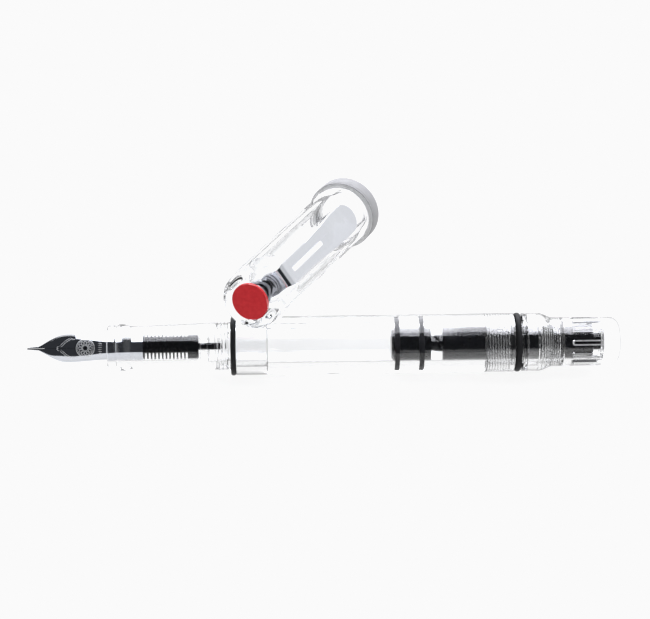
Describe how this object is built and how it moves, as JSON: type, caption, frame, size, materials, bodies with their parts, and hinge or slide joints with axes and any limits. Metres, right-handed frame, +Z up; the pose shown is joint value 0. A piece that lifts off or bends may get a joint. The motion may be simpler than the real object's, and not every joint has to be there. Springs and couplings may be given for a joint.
{
  "type": "fountain pen",
  "caption": "Clear piston-filling fountain pen lying with its hexagonal cap off, the cap leaning across the barrel; turning the end knob drives the piston.",
  "frame": {"origin": "on the table, under the centre of the whole arrangement's bounding box", "axes": "+X along the pen from the nib to the filling knob, +Y from the pen towards the cap's lip, +Z up"},
  "size_m": [0.131, 0.0603, 0.0273],
  "materials": {
    "nib": "polished stainless steel with etched line work",
    "feed": "black moulded plastic, satin",
    "section": "clear acrylic, polished",
    "front_o_ring": "black rubber, satin",
    "barrel": "clear acrylic, polished",
    "piston_head": "black moulded plastic",
    "piston_seal_front": "black elastomer, wet look at the wall",
    "piston_seal_rear": "black elastomer, wet look at the wall",
    "piston_rod": "black moulded plastic",
    "rod_guide": "black moulded plastic",
    "guide_collar": "clear acrylic, polished, finely threaded",
    "rear_o_ring": "black rubber, satin",
    "spindle": "black moulded plastic",
    "knob": "clear acrylic, polished",
    "crown": "clear acrylic, polished",
    "crown_disc": "red plastic inlay, slightly pebbled",
    "crown_screw": "bright threaded steel",
    "crown_o_ring": "black rubber",
    "clip": "polished stainless steel",
    "cap_shell": "clear acrylic, polished",
    "inner_cap": "clear acrylic",
    "cap_band": "satin stainless steel"
  },
  "bodies": {
    "pen": {"nib": "nib", "feed": "feed", "section": "section", "front_o_ring": "front_o_ring", "barrel": "barrel", "rod_guide": "rod_guide", "guide_collar": "guide_collar", "rear_o_ring": "rear_o_ring"},
    "piston": {"piston_head": "piston_head", "piston_seal_front": "piston_seal_front", "piston_seal_rear": "piston_seal_rear", "piston_rod": "piston_rod"},
    "spindle": {"spindle": "spindle"},
    "knob": {"knob": "knob"},
    "cap": {"crown": "crown", "crown_disc": "crown_disc", "crown_screw": "crown_screw", "crown_o_ring": "crown_o_ring", "clip": "clip", "cap_shell": "cap_shell", "inner_cap": "inner_cap", "cap_band": "cap_band"}
  },
  "joints": [
    {"name": "knob_turn", "type": "hinge", "parent": "pen", "child": "spindle", "pos_m": [0.0475, -0.0235, 0.00655], "axis": [1, 0, 0], "range_deg": [0, 1980]},
    {"name": "knob_travel", "type": "slide", "parent": "spindle", "child": "knob", "axis": [1, 0, 0], "range_m": [0, 0.00276]},
    {"name": "piston_slide", "type": "slide", "parent": "pen", "child": "piston", "axis": [-1, 0, 0], "range_m": [0, 0.0264]},
    {"name": "cap_lift", "type": "slide", "parent": "pen", "child": "cap", "axis": [0, 0, 1], "range_m": [0, 0.08]}
  ],
  "couplings": [
    {"joint": "knob_travel", "follows": "piston_slide", "ratio": 0.10417},
    {"joint": "knob_turn", "follows": "piston_slide", "rad_per_m": 1309}
  ]
}
